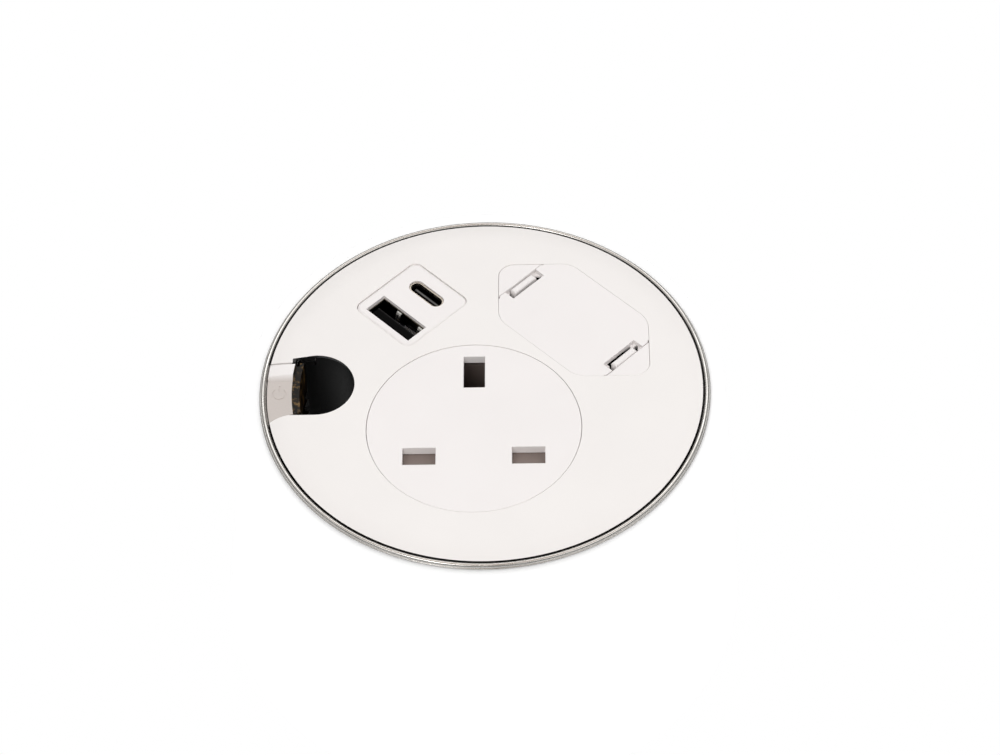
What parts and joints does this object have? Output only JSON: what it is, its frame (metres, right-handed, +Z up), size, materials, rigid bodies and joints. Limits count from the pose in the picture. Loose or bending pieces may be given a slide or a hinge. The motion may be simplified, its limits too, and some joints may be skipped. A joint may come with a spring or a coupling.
{
  "type": "in-desk power module",
  "caption": "Round in-desk power module: shuttered mains outlet, two USB charging ports, cable port with a gate, blank insert with latches, and a threaded clamp ring below the desk.",
  "frame": {"origin": "centre of the desk hole at the desk's top surface, under the flange gasket", "axes": "+Z up out of the desk, +Y to the rear (the earth slot's side), +X to the right"},
  "size_m": [0.093, 0.093, 0.0619],
  "materials": {
    "white_gloss": "smooth white moulding with a soft gloss",
    "gate_grey": "light grey moulding",
    "ring_chrome": "polished bright metal",
    "gasket_foam": "thin black foam",
    "body_black": "fine textured black moulding",
    "shutter_grey": "grey-brown moulding",
    "carrier_grey": "light grey insulating moulding",
    "contact_brass": "plain brass strip",
    "port_steel": "drawn steel shell",
    "port_black": "black insulator",
    "gold_contact": "gold flashed contact",
    "spring_steel": "spring wire",
    "screw_steel": "zinc plated steel",
    "board_green": "glass fibre board with a green mask",
    "chip_black": "moulded chip body",
    "core_tape": "taped winding on a grey core",
    "can_sleeve": "sleeved aluminium can",
    "fuse_ceramic": "glazed ceramic tube",
    "fuse_cap": "plated end cap",
    "wire_sleeve": "insulated wire"
  },
  "bodies": {
    "module": {"desk_gasket": "gasket_foam", "trim_ring": "ring_chrome", "fascia": "white_gloss", "cable_gate": "gate_grey", "socket_face": "white_gloss", "shutter_spring": "spring_steel", "contact_carrier": "carrier_grey", "contact_cover": "carrier_grey", "line_contact": "contact_brass", "neutral_contact": "contact_brass", "earth_contact": "contact_brass", "fuse_body": "fuse_ceramic", "fuse_caps": "fuse_cap", "fuse_clip": "contact_brass", "inlet_housing": "body_black", "inlet_pins": "contact_brass", "usb_insert": "white_gloss", "usb_a_shell": "port_steel", "usb_a_tongue": "port_black", "usb_a_contacts": "gold_contact", "usb_c_shell": "port_steel", "usb_c_tongue": "port_black", "port_board": "board_green", "module_frame": "white_gloss", "blank_plate": "white_gloss", "body_housing": "body_black", "bottom_cover": "body_black", "charger_board": "board_green", "charger_transformer": "core_tape", "charger_capacitors": "can_sleeve", "charger_chips": "chip_black", "charger_leads": "wire_sleeve", "port_leads": "wire_sleeve", "fascia_screws": "screw_steel", "module_screws": "screw_steel", "cover_screws": "screw_steel"},
    "shutter": {"socket_shutter": "shutter_grey"},
    "latch_leaf_rear": {"latch_rear": "white_gloss"},
    "latch_leaf_front": {"latch_front": "white_gloss"},
    "washer": {"clamp_washer": "body_black"},
    "nut": {"ring_nut": "body_black"}
  },
  "joints": [
    {"name": "shutter_slide", "type": "slide", "parent": "module", "child": "shutter", "axis": [0, -1, 0], "range_m": [0, 0.0051], "stiffness_N_per_m": 300, "springref_m": -0.003, "deforming": ["shutter_spring"]},
    {"name": "latch_rear_flex", "type": "hinge", "parent": "module", "child": "latch_leaf_rear", "pos_m": [0.00816, 0.02809, -0.0116], "axis": [0.7071, 0.7071, 0], "range_deg": [0, 3.3], "stiffness_Nm_per_rad": 0.9, "springref_deg": -1.15},
    {"name": "latch_front_flex", "type": "hinge", "parent": "module", "child": "latch_leaf_front", "pos_m": [0.02894, 0.00731, -0.0116], "axis": [-0.7071, -0.7071, 0], "range_deg": [0, 3.3], "stiffness_Nm_per_rad": 0.9, "springref_deg": -1.15},
    {"name": "washer_lift", "type": "slide", "parent": "module", "child": "washer", "axis": [0, 0, 1], "range_m": [0, 0.0281]},
    {"name": "nut_spin", "type": "hinge", "parent": "washer", "child": "nut", "pos_m": [0, 0, -0.0485], "axis": [0, 0, 1], "range_deg": [0, 2520]}
  ],
  "couplings": [
    {"joint": "washer_lift", "follows": "nut_spin", "m_per_rad": 0.00063662}
  ]
}
